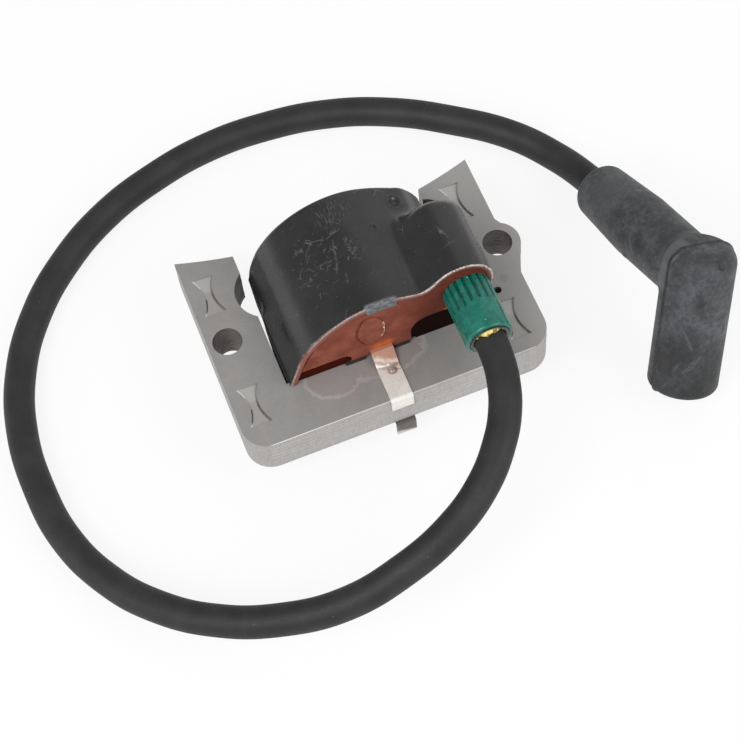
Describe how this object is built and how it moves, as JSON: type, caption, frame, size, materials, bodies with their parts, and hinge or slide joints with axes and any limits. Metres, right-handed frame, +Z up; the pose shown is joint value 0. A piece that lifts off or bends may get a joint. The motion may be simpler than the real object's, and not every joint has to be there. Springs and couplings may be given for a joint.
{
  "type": "flywheel ignition coil",
  "caption": "Flywheel ignition coil of a small engine: laminated E core, potted coil housing, high-tension lead and a right-angle spark plug boot.",
  "frame": {"origin": "midway between the two screw holes, on the core's bottom face", "axes": "+X along the base bar towards the lead, +Y towards the flywheel, +Z up out of the core's top face"},
  "size_m": [0.159, 0.1329, 0.0422],
  "materials": {
    "lamination_steel": "rolled sheet, dull",
    "housing_plastic": "semi-gloss, scratched",
    "potting_resin": "cast resin",
    "bobbin_plastic": "moulded",
    "copper": "enamelled copper wire",
    "wrap_film": "film",
    "tinned_steel": "tinned",
    "board": "laminate",
    "capacitor_case": "dipped",
    "black_epoxy": "moulded",
    "resistor_body": "lacquered",
    "ferrite": "sintered",
    "spool_plastic": "moulded",
    "contact_brass": "turned",
    "sleeve_plastic": "moulded, semi-gloss",
    "seal_glue": "cured glue",
    "lead_rubber": "extruded, satin",
    "boot_rubber": "moulded, dusty"
  },
  "bodies": {
    "coil": {"core_top_sheet": "lamination_steel", "core_stack": "lamination_steel", "core_bottom_sheet": "lamination_steel", "coil_housing": "housing_plastic", "potting": "potting_resin", "coil_bobbin": "bobbin_plastic", "charge_winding": "copper", "winding_wrap": "wrap_film", "trigger_winding": "copper", "ground_strap": "tinned_steel", "strap_rivet": "tinned_steel", "stop_terminal": "tinned_steel", "circuit_board": "board", "storage_capacitor": "capacitor_case", "thyristor": "black_epoxy", "rectifier_diodes": "black_epoxy", "gate_resistor": "resistor_body", "transformer_core": "ferrite", "transformer_spool": "spool_plastic", "primary_winding": "copper", "secondary_winding": "copper", "lead_contact": "contact_brass", "lead_sleeve": "sleeve_plastic", "sleeve_seal": "seal_glue", "lead_jacket": "lead_rubber", "lead_conductor": "copper"},
    "boot": {"plug_boot": "boot_rubber", "boot_neck": "boot_rubber", "plug_clip": "tinned_steel", "clip_stem": "tinned_steel"}
  },
  "joints": [
    {"name": "boot_swivel", "type": "hinge", "parent": "coil", "child": "boot", "pos_m": [0.0657, -0.0292, 0.0181], "axis": [0.101, -0.9007, 0.4226], "range_deg": [-90, 90]}
  ]
}
